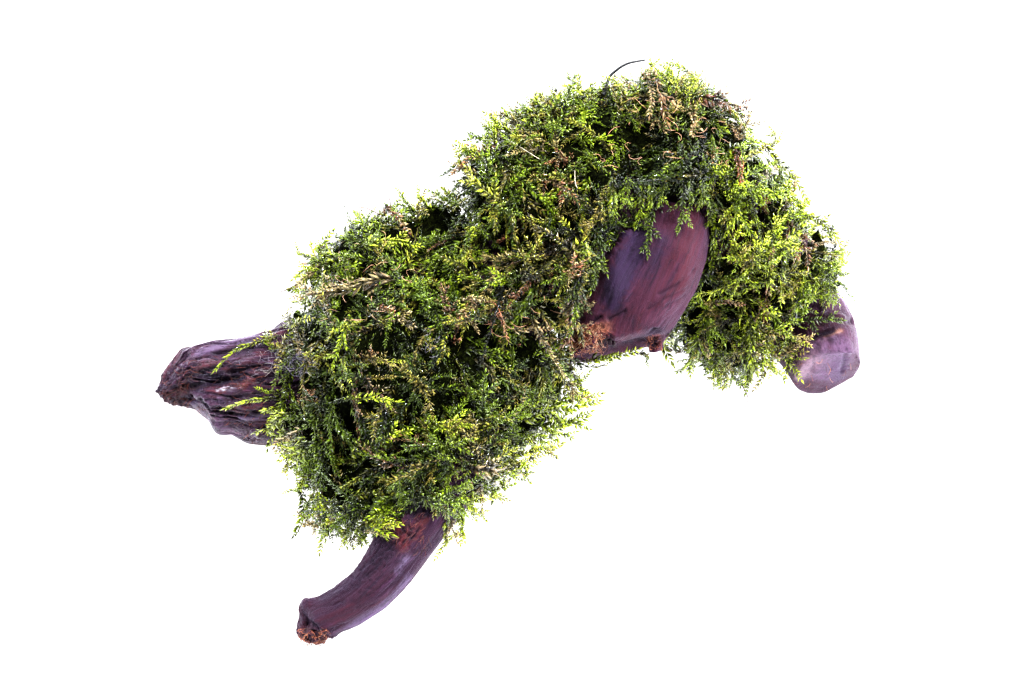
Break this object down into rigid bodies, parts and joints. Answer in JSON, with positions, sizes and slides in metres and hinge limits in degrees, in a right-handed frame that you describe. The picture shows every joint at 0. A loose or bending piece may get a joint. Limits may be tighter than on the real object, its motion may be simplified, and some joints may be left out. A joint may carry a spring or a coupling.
{
  "type": "moss-covered driftwood",
  "caption": "Forked piece of wet driftwood overgrown by a thick mat of feathery green aquarium moss, standing on its low ends and a thin front leg",
  "frame": {"origin": "middle of the footprint, on the ground that the wood stands on", "axes": "X+ runs along the wood from its pointed left end to its right end, Y+ points to the back, away from the front leg, and Z+ is up"},
  "size_m": [0.1619, 0.1183, 0.0765],
  "materials": {
    "wet_driftwood": "satin",
    "java_moss": "satin"
  },
  "bodies": {
    "root": {"left_limb": "wet_driftwood", "trunk": "wet_driftwood", "right_limb": "wet_driftwood", "front_leg": "wet_driftwood", "stub": "wet_driftwood", "moss_on_left": "java_moss", "moss_on_crest": "java_moss", "moss_on_right": "java_moss"}
  },
  "joints": []
}
